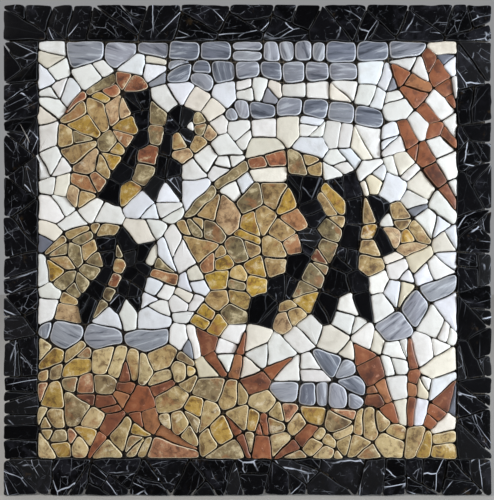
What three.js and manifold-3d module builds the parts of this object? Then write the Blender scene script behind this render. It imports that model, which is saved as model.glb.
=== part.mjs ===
// A wall panel of natural-stone mosaic: an underwater picture of three banded fish over sand, with a
// starfish and seaweed, inside a border of black marble. The stones are glued to a glass-fibre mesh and
// have no grout. Sizes are in millimetres. The picture is laid out flat, with x to the right, y up and z
// towards the viewer, and the finished group is turned upright, so that the back of the mesh is y = 0 and
// the picture looks along -Y.
import * as THREE from "three";
import { mergeVertices } from "three/addons/utils/BufferGeometryUtils.js";
import Module from "manifold-3d";

const wasm = await Module();
wasm.setup();

// ---------------------------------------------------------------------------------------------------
// Driving sizes
// ---------------------------------------------------------------------------------------------------
const PANEL_WIDTH = 600;
const PANEL_HEIGHT = 604;
const SIDE_BORDER = 42; // width of the black strips at the left and right
const END_BORDER = 45; // height of the black strips at the top and bottom
const FIELD_WIDTH = PANEL_WIDTH - 2 * SIDE_BORDER;
const FIELD_HEIGHT = PANEL_HEIGHT - 2 * END_BORDER;

const BACKING_THICKNESS = 2; // glass-fibre mesh and its adhesive
const BACKING_SETBACK = 5; // the outer stones stand past the mesh by this much
const TOUCH_GAP = 0.3; // clearance between solids that touch
const BED_THICKNESS = 1.7; // adhesive under one group of stones
const STONE_FOOT = BACKING_THICKNESS + TOUCH_GAP + 0.7; // the stones sink this deep into their bed
const STONE_FACE = 11.4; // usual height of a stone's face above the wall
const FACE_SPREAD = 1.3; // the faces stand up to this much above or below that

const JOINT = 2.5; // open joint between two stones
const SHORTEST_SIDE = 3.4; // shorter sides of a stone are worn away
const CORNER_LOSS = 0.08; // a corner that holds less than this share of its stone is knocked off
const EDGE_WANDER = 2.2; // how far the panel's outer edge is from straight

const SEED = 28;

// ---------------------------------------------------------------------------------------------------
// Stones
// ---------------------------------------------------------------------------------------------------
const STONE = {
  black: { color: 0x17171b, roughness: 0.3 },
  white: { color: 0xeae7e1, roughness: 0.45 },
  grey: { color: 0x8b8d97, roughness: 0.5 },
  sand: { color: 0xb39a6b, roughness: 0.55 },
  tan: { color: 0xac8f5c, roughness: 0.55 },
  red: { color: 0x9c5034, roughness: 0.5 },
};

// The stone of each area of the picture.
const STONE_OF = {
  border: "black",
  white_water: "white",
  sand: "sand",
  starfish: "red",
  grey_row: "grey",
  seaweed: "red",
  fish_body: "tan",
  fish_middle: "tan",
  fish_head: "tan",
  fish_banner: "tan",
  fish_stripe: "black",
  fish_eye: "white",
};

// ---------------------------------------------------------------------------------------------------
// Small tools
// ---------------------------------------------------------------------------------------------------
// A seeded source of numbers from 0 to 1, so that the panel comes out the same every time.
function seededRandom(seed) {
  let state = seed;
  return () => {
    state = (state + 0x6d2b79f5) | 0;
    let mixed = Math.imul(state ^ (state >>> 15), 1 | state);
    mixed = (mixed + Math.imul(mixed ^ (mixed >>> 7), 61 | mixed)) ^ mixed;
    return ((mixed ^ (mixed >>> 14)) >>> 0) / 4294967296;
  };
}

const random = seededRandom(SEED);
const between = (low, high) => low + (high - low) * random();
const point = (x, y) => new THREE.Vector2(x, y);

// The part of a convex outline where normal . p <= distance. Each corner names, in `side`, what lies
// beyond the edge that starts there, and the new edge gets `side`.
function clip(outline, normal, distance, side) {
  const kept = [];
  outline.forEach((here, index) => {
    const next = outline[(index + 1) % outline.length];
    const over = normal.x * here.x + normal.y * here.y - distance;
    const overNext = normal.x * next.x + normal.y * next.y - distance;
    if (over <= 0) kept.push(here);
    if (over * overNext < 0) {
      const share = over / (over - overNext);
      kept.push({
        x: here.x + (next.x - here.x) * share,
        y: here.y + (next.y - here.y) * share,
        side: over <= 0 ? side : here.side,
      });
    }
  });
  return kept;
}

function areaOf(outline) {
  return outline.reduce((sum, here, index) => {
    const next = outline[(index + 1) % outline.length];
    return sum + (here.x * next.y - next.x * here.y) / 2;
  }, 0);
}

function rectangle(left, bottom, width, height) {
  return [
    { x: left, y: bottom, side: "below" },
    { x: left + width, y: bottom, side: "right" },
    { x: left + width, y: bottom + height, side: "above" },
    { x: left, y: bottom + height, side: "left" },
  ];
}

function isInside(outline, x, y) {
  let inside = false;
  outline.forEach((here, index) => {
    const next = outline[(index + 1) % outline.length];
    const spans = here.y > y !== next.y > y;
    if (spans && x < here.x + ((y - here.y) * (next.x - here.x)) / (next.y - here.y)) inside = !inside;
  });
  return inside;
}

// ---------------------------------------------------------------------------------------------------
// Figures of the picture
// ---------------------------------------------------------------------------------------------------
const BAND_STEPS = 40;

// A strip of stones along a curve through `points`, `widths` wide from its start to its end, with its
// stones `pitch` long.
class Band {
  constructor(points, widths, pitch) {
    this.curve = new THREE.SplineCurve(points);
    this.widths = widths;
    this.pitch = pitch;
    this.samples = this.curve.getPoints(BAND_STEPS);
  }

  widthAt(share) {
    const place = Math.min(Math.max(share, 0), 1) * (this.widths.length - 1);
    const first = Math.min(Math.floor(place), this.widths.length - 2);
    return THREE.MathUtils.lerp(this.widths[first], this.widths[first + 1], place - first);
  }

  contains(x, y) {
    return this.samples.some((sample, index) => {
      const reach = this.widthAt(index / BAND_STEPS) / 2;
      return (sample.x - x) ** 2 + (sample.y - y) ** 2 <= reach * reach;
    });
  }

  // The point of one edge at a share of the way along: `hand` is 1 for the left edge, -1 for the right.
  edge(share, hand) {
    const tangent = this.curve.getTangentAt(Math.min(Math.max(share, 0), 1));
    const centre = this.curve.getPointAt(Math.min(Math.max(share, 0), 1));
    const reach = (hand * this.widthAt(share)) / 2;
    return point(centre.x - tangent.y * reach, centre.y + tangent.x * reach);
  }

  // The seeds of its own stones, and the seeds just outside that keep its edges where they are.
  seeds() {
    const count = Math.max(1, Math.round(this.curve.getLength() / this.pitch));
    const inner = [];
    const outer = [];
    for (let index = 0; index < count; index += 1) {
      const share = (index + 0.5) / count;
      const seed = this.curve.getPointAt(share);
      inner.push(seed);
      for (const hand of [1, -1]) {
        const guard = mirrored(seed, this.edge(share - 0.02, hand), this.edge(share + 0.02, hand));
        outer.push({ seed: guard, edge: this.edge(share, hand) });
      }
    }
    for (const end of [0, 1]) {
      const tip = this.curve.getPointAt(end);
      const last = this.curve.getPointAt(end ? 1 - 0.5 / count : 0.5 / count);
      outer.push({ seed: point(2 * tip.x - last.x, 2 * tip.y - last.y), edge: tip });
    }
    return { inner, outer };
  }
}

// A seed's image in the line through two points.
function mirrored(seed, start, end) {
  const along = point(end.x - start.x, end.y - start.y).normalize();
  const reach = (seed.x - start.x) * along.x + (seed.y - start.y) * along.y;
  return point(2 * (start.x + along.x * reach) - seed.x, 2 * (start.y + along.y * reach) - seed.y);
}

// A figure with a closed, curved outline. Its edge is kept by seeds `depth` inside and outside of it.
class Shape {
  constructor(points, pitch, depth) {
    this.curve = new THREE.SplineCurve([...points, points[0]]);
    this.samples = this.curve.getPoints(BAND_STEPS);
    this.pitch = pitch;
    this.depth = depth;
  }

  contains(x, y) {
    return isInside(this.samples, x, y);
  }

  seeds() {
    const count = Math.round(this.curve.getLength() / this.pitch);
    const inner = [];
    const outer = [];
    for (let index = 0; index < count; index += 1) {
      const at = this.curve.getPointAt(index / count);
      const tangent = this.curve.getTangentAt(index / count);
      const depth = this.depth * between(0.85, 1.15);
      for (const hand of [1, -1]) {
        const seed = point(at.x - tangent.y * depth * hand, at.y + tangent.x * depth * hand);
        if (this.contains(seed.x, seed.y)) inner.push(seed);
        else outer.push({ seed, edge: at });
      }
    }
    return { inner, outer };
  }
}

// One fish, facing right. Its parts are given as shares of its length, from the middle of its body.
function fish(name, centreX, centreY, length, tallness, pitch) {
  const at = (u, v) => point(centreX + u * length, centreY + v * length * tallness);
  const path = (...pairs) => pairs.map(([u, v]) => at(u, v));
  const wide = (...shares) => shares.map((share) => share * length);
  const eye = at(0.352, 0.09);
  return [
    {
      area: "fish_eye",
      name: `${name}_eye`,
      figure: new Band([eye, point(eye.x + 1, eye.y)], wide(0.05, 0.05), pitch),
    },
    {
      area: "fish_stripe",
      name: `${name}_head_stripe`,
      figure: new Band(path([0.285, 0.2], [0.293, 0.1], [0.32, -0.04]), wide(0.06, 0.06, 0.055), pitch),
    },
    {
      area: "fish_stripe",
      name: `${name}_middle_stripe`,
      figure: new Band(
        path([0.15, 0.285], [0.203, 0.13], [0.2, 0], [0.15, -0.13], [0.07, -0.31]),
        wide(0.11, 0.095, 0.1, 0.14, 0.08),
        pitch,
      ),
    },
    {
      area: "fish_stripe",
      name: `${name}_middle_stripe`,
      figure: new Band(path([0.19, -0.1], [0.235, -0.2], [0.248, -0.3]), wide(0.09, 0.08, 0.05), pitch),
    },
    {
      area: "fish_stripe",
      name: `${name}_rear_stripe`,
      figure: new Band(
        path([-0.06, 0.265], [0.018, 0.18], [0.01, 0.03], [-0.06, -0.11], [-0.215, -0.31]),
        wide(0.07, 0.1, 0.1, 0.12, 0.11),
        pitch,
      ),
    },
    {
      area: "fish_banner",
      name: `${name}_banner`,
      figure: new Band(
        path([0.06, 0.3], [-0.03, 0.352], [-0.19, 0.342], [-0.35, 0.26], [-0.5, 0.13]),
        wide(0.085, 0.06, 0.06, 0.05, 0.05),
        pitch * 1.5,
      ),
    },
    {
      area: "fish_head",
      name: `${name}_head`,
      figure: new Band(path([0.24, 0.2], [0.256, 0.1], [0.275, -0.06]), wide(0.045, 0.055, 0.075), pitch),
    },
    {
      area: "fish_head",
      name: `${name}_head`,
      figure: new Band(path([0.36, 0.165], [0.43, 0.07], [0.5, 0.03]), wide(0.07, 0.1, 0.04), pitch * 0.8),
    },
    {
      area: "fish_head",
      name: `${name}_head`,
      figure: new Shape(
        path([0.24, 0.25], [0.36, 0.17], [0.505, 0.035], [0.37, -0.05], [0.3, -0.12], [0.22, -0.1]),
        pitch,
        pitch * 0.4,
      ),
    },
    {
      area: "fish_middle",
      name: `${name}_middle`,
      figure: new Band(
        path([0.098, 0.22], [0.105, 0.08], [0.062, -0.06], [0.01, -0.2], [-0.1, -0.33]),
        wide(0.1, 0.11, 0.11, 0.11, 0.075),
        pitch,
      ),
    },
    {
      area: "fish_body",
      name: `${name}_body`,
      figure: new Shape(
        path(
          [0, 0.23],
          [-0.2, 0.25],
          [-0.4, 0.16],
          [-0.5, 0],
          [-0.4, -0.14],
          [-0.26, -0.22],
          [-0.15, -0.18],
          [0, 0.02],
        ),
        pitch * 1.15,
        pitch * 0.5,
      ),
    },
    {
      area: "fish_body",
      name: `${name}_body`,
      figure: new Shape(
        path([-0.48, -0.21], [-0.27, -0.19], [-0.28, -0.3], [-0.37, -0.37], [-0.45, -0.33]),
        pitch,
        pitch * 0.4,
      ),
    },
  ];
}

const BLADE_PITCH = 32;

// The seaweed: clumps of blades, each from its tip to its root, with its greatest width.
const SEAWEED = {
  right_seaweed: [
    [176, 232, 256, 128, 25],
    [222, 240, 256, 172, 21],
    [187, 154, 257, 54, 24],
  ],
  middle_seaweed: [
    [-62, -92, -28, -156, 17],
    [-3, -98, -13, -157, 16],
    [50, -134, -4, -170, 17],
  ],
  low_seaweed: [
    [-26, -206, 1, -254, 16],
    [21, -200, 15, -256, 14],
    [82, -214, 35, -256, 17],
  ],
  corner_seaweed: [
    [131, -114, 184, -214, 26],
    [200, -115, 201, -214, 19],
    [251, -169, 221, -218, 19],
  ],
};

function seaweed() {
  return Object.entries(SEAWEED).flatMap(([clump, blades]) =>
    blades.map(([tipX, tipY, rootX, rootY, width]) => ({
      area: "seaweed",
      name: clump,
      figure: new Band(
        [point(tipX, tipY), point((tipX + rootX) / 2, (tipY + rootY) / 2), point(rootX, rootY)],
        [width * 0.2, width * 0.95, width, width * 0.75, width * 0.35],
        BLADE_PITCH,
      ),
    })),
  );
}

// The starfish: five arms round one centre, each an angle in degrees, a length and a width at the root.
const STARFISH = {
  x: -156,
  y: -194,
  arms: [
    [85, 60, 27],
    [25, 74, 28],
    [-30, 92, 26],
    [-124, 70, 22],
    [165, 58, 26],
  ],
};

function starfish() {
  const { x, y, arms } = STARFISH;
  return arms.map(([degrees, length, width]) => {
    const angle = THREE.MathUtils.degToRad(degrees);
    const reach = (share) => {
      const along = length * share;
      return point(x + Math.cos(angle) * along, y + Math.sin(angle) * along);
    };
    return {
      area: "starfish",
      name: "starfish",
      figure: new Band([reach(0.12), reach(0.5), reach(1)], [width, width * 0.72, width * 0.15], length / 2),
    };
  });
}

// The top of the sand, from the left edge to the right.
const SAND_TOP = [
  point(-262, -118),
  point(-162, -125),
  point(-100, -131),
  point(-50, -152),
  point(0, -172),
  point(55, -190),
  point(124, -197),
  point(175, -212),
  point(262, -221),
];
const sandLine = new THREE.SplineCurve(SAND_TOP);
const sand = {
  curve: sandLine,
  samples: [
    point(-FIELD_WIDTH, -FIELD_HEIGHT),
    ...sandLine.getPoints(BAND_STEPS),
    point(FIELD_WIDTH, -FIELD_HEIGHT),
  ],
  contains(x, y) {
    return isInside(this.samples, x, y);
  },
  seeds() {
    const inner = [];
    const outer = [];
    const pitch = 33;
    const count = Math.round(this.curve.getLength() / pitch);
    for (let index = 0; index < count; index += 1) {
      const at = this.curve.getPointAt((index + between(0.35, 0.65)) / count);
      const depth = between(10, 14);
      inner.push(point(at.x, at.y - depth));
      outer.push({ seed: point(at.x, at.y + depth), edge: at });
    }
    return { inner, outer };
  },
};

// The rows of grey stones: points along the row, its widths, and the usual length of a stone.
const GREY_ROWS = [
  ["grey_current_top", [[-214, 245], [-80, 246], [60, 245], [212, 245]], [24, 25, 26, 26], 38],
  ["grey_current_upper", [[-98, 222], [-62, 212], [-20, 218], [50, 217], [128, 218]], [20, 22, 21, 22, 20], 29],
  ["grey_current_middle", [[-30, 168], [20, 176], [70, 176], [110, 168], [164, 162]], [22, 24, 25, 26, 24], 33],
  ["grey_horizon_left", [[-258, -102], [-180, -106], [-98, -112]], [32, 34, 34], 46],
  ["grey_horizon_middle", [[26, -170], [70, -180], [136, -182]], [28, 28, 24], 40],
  ["grey_current_low", [[90, -132], [112, -140], [136, -150]], [24, 26, 18], 25],
  ["grey_drift", [[164, -98], [196, -84], [214, -60], [250, -42]], [24, 30, 28, 22], 34],
];

function greyRows() {
  return GREY_ROWS.map(([name, points, widths, pitch]) => ({
    area: "grey_row",
    name,
    figure: new Band(
      points.map(([x, y]) => point(x, y)),
      widths,
      pitch,
    ),
  }));
}

// Every figure, in front of the ones that come after it.
const figures = [
  ...fish("large_fish", 73, 7, 294, 1, 32),
  ...fish("upper_fish", -134, 133, 193, 1.12, 25),
  ...fish("small_fish", -173, -26, 146, 1.05, 20),
  ...starfish(),
  ...seaweed(),
  ...greyRows(),
  { area: "sand", name: "sand", figure: sand },
];
const WATER = { area: "white_water", name: "white_water" };

// White stones that always lie between the blades of the seaweed.
const WATER_STONES = [
  [207, 205],
  [248, 236],
  [196, 244],
  [232, 148],
  [249, 146],
  [-24, -120],
  [14, -128],
  [183, -140],
  [187, -168],
  [226, -150],
];

function figureAt(x, y) {
  return figures.find(({ figure }) => figure.contains(x, y)) ?? WATER;
}

// ---------------------------------------------------------------------------------------------------
// Where the stones lie
// ---------------------------------------------------------------------------------------------------
const JITTER = 1.4; // no two stones are set quite alike
const OPEN_SPACING = 37.5; // between the pieces of the open areas
const NEAR_EDGE = 6; // no seed comes nearer to the edge of its field
const PAST_EDGE = 14; // but one that keeps a figure's edge may lie past it
const OWN_SPACING = 8; // between the pieces of one figure
const GUARD_SPACING = 12; // between the pieces along the figures' edges and all others
const FISH_SPACING = 28; // between the pieces that fill a fish
const CLEAR_MARGIN = 0.6; // around the discs that no other seed may enter
const LEAST_PIECE = 130; // area of the smallest piece
const STRIP_PITCH = 53; // between the pieces along a border strip

// Adds a seed where it has room. The seeds in `near` may be as close to it as they like.
function tryToAdd(seeds, seed, spacing, bounds, near = new Set()) {
  const [left, bottom, right, top] = bounds;
  const isOutside = seed.x < left || seed.x > right || seed.y < bottom || seed.y > top;
  const isClose = (other) => !near.has(other) && other.distanceToSquared(seed) < spacing * spacing;
  if (isOutside || seeds.some(isClose)) return false;
  seed.kept = point(seed.x + between(-JITTER, JITTER), seed.y + between(-JITTER, JITTER));
  seeds.push(seed.kept);
  return true;
}

// Discs that no other seed may enter, along the middle of each band that shows, so that its pieces meet.
function keptClear(entries) {
  return entries.flatMap(({ entry, own }) => {
    if (!(entry.figure instanceof Band) || own.length === 0) return [];
    return entry.figure.samples
      .filter(({ x, y }) => figureAt(x, y) === entry)
      .map((sample) => {
        const nearest = Math.min(...own.map((seed) => seed.distanceTo(sample)));
        return { sample, reach: nearest + CLEAR_MARGIN };
      });
  });
}

// The seeds of the picture: the figures' own, then those along their edges, then the open areas'.
function pictureSeeds() {
  const seeds = [];
  const halfWidth = FIELD_WIDTH / 2 - NEAR_EDGE;
  const halfHeight = FIELD_HEIGHT / 2 - NEAR_EDGE;
  const bounds = [-halfWidth, -halfHeight, halfWidth, halfHeight];
  const [farWidth, farHeight] = [halfWidth + PAST_EDGE, halfHeight + PAST_EDGE];
  const beyond = [-farWidth, -farHeight, farWidth, farHeight];
  const entries = figures.map((entry) => ({ entry, ...entry.figure.seeds() }));
  for (const item of entries) {
    const { entry, inner } = item;
    const isOwn = ({ x, y }) => figureAt(x, y).name === entry.name;
    item.own = inner.filter((seed) => isOwn(seed) && tryToAdd(seeds, seed, OWN_SPACING, bounds));
  }
  for (const [x, y] of WATER_STONES) tryToAdd(seeds, point(x, y), OWN_SPACING, bounds);
  const clear = keptClear(entries);
  const isFree = (seed) => clear.every(({ sample, reach }) => sample.distanceToSquared(seed) > reach * reach);
  for (const { entry, outer, own } of entries) {
    const ownSeeds = new Set(own.map(({ kept }) => kept));
    for (const { seed, edge } of outer) {
      const front = figureAt(edge.x, edge.y);
      const isHidden = front.name !== entry.name && figures.indexOf(front) < figures.indexOf(entry);
      if (front !== WATER && isHidden) continue;
      if (isFree(seed)) tryToAdd(seeds, seed, GUARD_SPACING, beyond, ownSeeds);
    }
  }
  for (let attempt = 0; attempt < 9000; attempt += 1) {
    const seed = point(between(-halfWidth, halfWidth), between(-halfHeight, halfHeight));
    const isFish = figureAt(seed.x, seed.y).area.startsWith("fish");
    const spacing = isFish ? FISH_SPACING : OPEN_SPACING * between(0.8, 1.15);
    if (isFree(seed)) tryToAdd(seeds, seed, spacing, bounds);
  }
  return seeds;
}

// The seeds of a border strip: two staggered rows, with some pieces as deep as the strip.
function stripSeeds(width, height) {
  const seeds = [];
  const [longSide, shortSide] = [Math.max(width, height), Math.min(width, height)];
  const count = Math.round(longSide / STRIP_PITCH);
  for (let index = 0; index < count; index += 1) {
    const along = (index + 0.5) * (longSide / count) - longSide / 2;
    const single = random() < 0.3;
    for (const row of single ? [0] : [-1, 1]) {
      const aside = (row * shortSide) / 4 + between(-4, 4);
      const place = along + (row * STRIP_PITCH) / 6 + between(-5, 5);
      seeds.push(width > height ? point(place, aside) : point(aside, place));
    }
  }
  return seeds;
}

// ---------------------------------------------------------------------------------------------------
// From seeds to pieces: each piece is what lies nearest to its seed
// ---------------------------------------------------------------------------------------------------
function piecesOf(seeds, field, label) {
  return seeds.map((seed, index) => {
    const outline = seeds.reduce((kept, other, otherIndex) => {
      if (otherIndex === index) return kept;
      const normal = point(other.x - seed.x, other.y - seed.y).normalize();
      const distance = (normal.x * (seed.x + other.x) + normal.y * (seed.y + other.y)) / 2;
      return clip(kept, normal, distance, otherIndex);
    }, field);
    return { index, outline: outline.map((corner) => ({ ...corner })), ...label(seed) };
  });
}

// Seeds whose pieces would be slivers are left out, and their neighbours grow into the room.
function withoutSlivers(seeds, field) {
  const kept = piecesOf(seeds, field, () => ({})).map(({ outline }) => areaOf(outline) > LEAST_PIECE);
  return kept.every(Boolean) ? seeds : withoutSlivers(seeds.filter((seed, index) => kept[index]), field);
}

// Corners that nearly meet are drawn together, in every piece that has them. A corner on the edge of the
// field stays on it, and the field's own corners stay where they are.
function joinNearCorners(pieces) {
  const corners = new Map();
  for (const { index, outline } of pieces) {
    outline.forEach((corner, place) => {
      const around = [index, corner.side, outline.at(place - 1).side];
      const key = around.map(String).sort().join("|");
      const frames = around.filter((side) => typeof side === "string").join();
      if (!corners.has(key)) corners.set(key, { x: corner.x, y: corner.y, frames, into: null });
      corner.shared = corners.get(key);
    });
  }
  const settled = (shared) => (shared.into ? settled(shared.into) : shared);
  for (const { outline } of pieces) {
    outline.forEach((corner, place) => {
      const first = settled(corner.shared);
      const second = settled(outline[(place + 1) % outline.length].shared);
      const apart = Math.hypot(first.x - second.x, first.y - second.y);
      if (first === second || apart >= SHORTEST_SIDE) return;
      const [kept, joined] = second.frames.length > first.frames.length ? [second, first] : [first, second];
      if (!kept.frames.includes(joined.frames)) return;
      if (first.frames === second.frames) {
        kept.x = (first.x + second.x) / 2;
        kept.y = (first.y + second.y) / 2;
      }
      joined.into = kept;
    });
  }
  for (const piece of pieces) {
    const joined = piece.outline.map(({ side, shared }) => ({ side, shared: settled(shared) }));
    piece.outline = joined.filter(({ shared }, place) => shared !== joined[(place + 1) % joined.length].shared);
    for (const { shared } of piece.outline) shared.pieces = (shared.pieces ?? new Set()).add(piece);
  }
  placeCorners(pieces);
}

// Writes each shared corner's place into the pieces that have it.
function placeCorners(pieces) {
  for (const { outline } of pieces) {
    for (const corner of outline) {
      corner.x = corner.shared.x;
      corner.y = corner.shared.y;
    }
  }
}

// ---------------------------------------------------------------------------------------------------
// Beds: pieces of one figure that meet lie on one bed of adhesive
// ---------------------------------------------------------------------------------------------------
const LEAST_NECK = 4; // two pieces that meet along less than this don't share a bed
const BOUNDARY_SLACK = 7.5; // how far a corner moves when the line between two beds is straightened
const LEAST_TURN = 0.5; // a piece may be hollow by this little at a corner
const SHARPEST_MITRE = 4;

function bedsOf(pieces) {
  const taken = new Set();
  const beds = [];
  for (const start of pieces) {
    if (taken.has(start.index)) continue;
    const bed = [start];
    taken.add(start.index);
    for (const { outline, name } of bed) {
      outline.forEach((corner, place) => {
        const next = outline[(place + 1) % outline.length];
        const other = pieces[corner.side];
        const wideEnough = Math.hypot(next.x - corner.x, next.y - corner.y) >= LEAST_NECK;
        if (!other || other.name !== name || taken.has(other.index) || !wideEnough) return;
        taken.add(other.index);
        bed.push(other);
      });
    }
    beds.push(bed);
  }
  return beds;
}

// A lone piece that its figure doesn't reach goes to the figure that it touches most.
function adoptStrays(pieces, leastPieces) {
  const beds = bedsOf(pieces);
  const bedOf = new Map(beds.flatMap((bed) => bed.map(({ index }) => [index, bed])));
  for (const bed of beds) {
    const largest = Math.max(...beds.filter(([{ name }]) => name === bed[0].name).map(({ length }) => length));
    if (bed.length >= leastPieces || bed.length === largest) continue;
    for (const piece of bed) {
      const touching = new Map();
      piece.outline.forEach((corner, place) => {
        const next = piece.outline[(place + 1) % piece.outline.length];
        const other = pieces[corner.side];
        if (!other || bedOf.get(other.index) === bed || other.area === "fish_eye") return;
        const length = Math.hypot(next.x - corner.x, next.y - corner.y);
        touching.set(other, (touching.get(other) ?? 0) + length);
      });
      const [best] = [...touching].sort((first, second) => second[1] - first[1])[0];
      piece.name = best.name;
      piece.area = best.area;
    }
  }
}

// The closed outlines of a bed, with its outer side first; holes run the other way round.
function outlinesOf(bed, pieces) {
  const own = new Set(bed.map(({ index }) => index));
  const seen = new Set();
  const outlines = [];
  for (const start of bed) {
    start.outline.forEach((corner, startPlace) => {
      if (own.has(corner.side) || seen.has(`${start.index},${startPlace}`)) return;
      const walked = [];
      let piece = start;
      let place = startPlace;
      do {
        seen.add(`${piece.index},${place}`);
        walked.push(piece.outline[place]);
        place = (place + 1) % piece.outline.length;
        while (own.has(piece.outline[place].side)) {
          const from = piece.index;
          piece = pieces[piece.outline[place].side];
          place = (piece.outline.findIndex(({ side }) => side === from) + 1) % piece.outline.length;
        }
      } while (piece !== start || place !== startPlace);
      outlines.push(walked);
    });
  }
  return outlines.sort((first, second) => areaOf(second) - areaOf(first));
}

// The stretches of a bed's outlines between two corners where its neighbour changes. An outline with one
// neighbour all round is parted at its first corner and the one furthest from it.
function stretchesOf(outline, ownerOf) {
  const changes = (corner, place) => ownerOf(outline.at(place - 1).side) !== ownerOf(corner.side);
  const ends = outline
    .map((corner, place) => (changes(corner, place) ? place : -1))
    .filter((place) => place >= 0);
  if (ends.length < 2) {
    const [first] = outline;
    const reach = ({ x, y }) => Math.hypot(x - first.x, y - first.y);
    const furthest = outline.reduce(
      (best, corner, place) => (reach(corner) > reach(outline[best]) ? place : best),
      0,
    );
    ends.push(0, furthest);
  }
  return ends.map((start, index) => {
    const end = ends[(index + 1) % ends.length];
    const length = ((end - start + outline.length) % outline.length) + 1;
    return Array.from({ length }, (unused, step) => outline[(start + step) % outline.length].shared);
  });
}

// A piece is sound while it bulges at every corner, and is neither a scrap nor has a tiny side.
function isSound(piece) {
  const corners = piece.outline.map(({ shared }) => shared);
  return corners.every((corner, place) => {
    const before = corners.at(place - 1);
    const next = corners[(place + 1) % corners.length];
    const turn = (corner.x - before.x) * (next.y - corner.y) - (corner.y - before.y) * (next.x - corner.x);
    return turn > -LEAST_TURN && Math.hypot(next.x - corner.x, next.y - corner.y) > SHORTEST_SIDE / 2;
  });
}

// Draws the corners of a stretch onto straight lines, wherever they are within `BOUNDARY_SLACK` of one and
// the pieces round them stay sound.
function straighten(stretch) {
  if (stretch.length < 3) return;
  const [first, last] = [stretch[0], stretch.at(-1)];
  const middle = stretch.slice(1, -1);
  const along = point(last.x - first.x, last.y - first.y).normalize();
  const offsets = middle.map(({ x, y }) => Math.abs((x - first.x) * along.y - (y - first.y) * along.x));
  const worst = offsets.indexOf(Math.max(...offsets));
  const before = middle.map(({ x, y }) => ({ x, y }));
  for (const corner of middle) {
    const reach = (corner.x - first.x) * along.x + (corner.y - first.y) * along.y;
    corner.x = first.x + along.x * reach;
    corner.y = first.y + along.y * reach;
  }
  const touched = new Set(middle.flatMap(({ pieces }) => [...pieces]));
  if (offsets[worst] < BOUNDARY_SLACK && [...touched].every(isSound)) {
    for (const corner of middle) corner.onLine = true;
    return;
  }
  middle.forEach((corner, place) => Object.assign(corner, before[place]));
  straighten(stretch.slice(0, worst + 2));
  straighten(stretch.slice(worst + 1));
}

// Straightens the line between every two beds, once.
function straightenBoundaries(beds, pieces) {
  const bedNumber = (side) => beds.indexOf(pieces[side].bed);
  beds.forEach((bed, number) => {
    for (const outline of outlinesOf(bed, pieces)) {
      const ownerOf = (side) => (typeof side === "string" ? side : bedNumber(side));
      for (const stretch of stretchesOf(outline, ownerOf)) {
        const place = outline.findIndex(({ shared }) => shared === stretch[0]);
        const owner = ownerOf(outline[place].side);
        if (typeof owner === "string" || owner > number) straighten(stretch);
      }
    }
  });
  placeCorners(pieces);
}

// The outline moved inwards by `reach` on all sides. What is on the left of a side is inside.
function drawnIn(outline, reach) {
  return outline.map((corner, place) => {
    const before = outline[(place + outline.length - 1) % outline.length];
    const next = outline[(place + 1) % outline.length];
    const first = point(before.y - corner.y, corner.x - before.x).normalize();
    const second = point(corner.y - next.y, next.x - corner.x).normalize();
    const mitre = Math.min(1 / (1 + first.dot(second)), SHARPEST_MITRE);
    const step = reach * mitre;
    return point(corner.x + (first.x + second.x) * step, corner.y + (first.y + second.y) * step);
  });
}

// ---------------------------------------------------------------------------------------------------
// Stones: large pieces are broken in two, every side is drawn in by half a joint, and corners are worn
// ---------------------------------------------------------------------------------------------------
const LEAST_STONE = 40; // area of the smallest stone; a smaller scrap isn't laid
const LARGEST_STONE = 2300; // area past which a piece is broken in two
const LEAST_SHARE = 0.3; // a break leaves each half at least this share of the piece

// A break runs from a corner, or the middle of a side, to another, and tends to take the short way.
function broken(outline) {
  const size = areaOf(outline);
  if (size < LARGEST_STONE) return [outline];
  const marks = outline.flatMap((corner, place) => {
    const next = outline[(place + 1) % outline.length];
    return [corner, { x: (corner.x + next.x) / 2, y: (corner.y + next.y) / 2 }];
  });
  let best = { score: Infinity, halves: [outline] };
  marks.forEach((start, index) => {
    for (const end of marks.slice(index + 2)) {
      const normal = point(start.y - end.y, end.x - start.x).normalize();
      const distance = normal.x * start.x + normal.y * start.y;
      const halves = [
        clip(outline, normal, distance, "break"),
        clip(outline, point(-normal.x, -normal.y), -distance, "break"),
      ];
      const share = Math.min(...halves.map(areaOf)) / size;
      const length = Math.hypot(end.x - start.x, end.y - start.y);
      const score = length * between(0.8, 1.3);
      const isBreak = share > LEAST_SHARE && length > SHORTEST_SIDE;
      if (isBreak && score < best.score) best = { score, halves };
    }
  });
  if (best.halves.length === 1) return [outline];
  return best.halves.flatMap(broken);
}

// How far each side of a stone is drawn in: half a joint, or more or less at the panel's outer edge.
function drawnStone(outline, outerSides) {
  return outline.reduce((kept, corner, place) => {
    const next = outline[(place + 1) % outline.length];
    const normal = point(next.y - corner.y, corner.x - next.x).normalize();
    const isOuter = outerSides.includes(corner.side);
    const reach = isOuter ? between(0, EDGE_WANDER) : (JOINT / 2) * between(0.9, 1.15);
    return clip(kept, normal, normal.x * corner.x + normal.y * corner.y - reach, "cut");
  }, outline);
}

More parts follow.
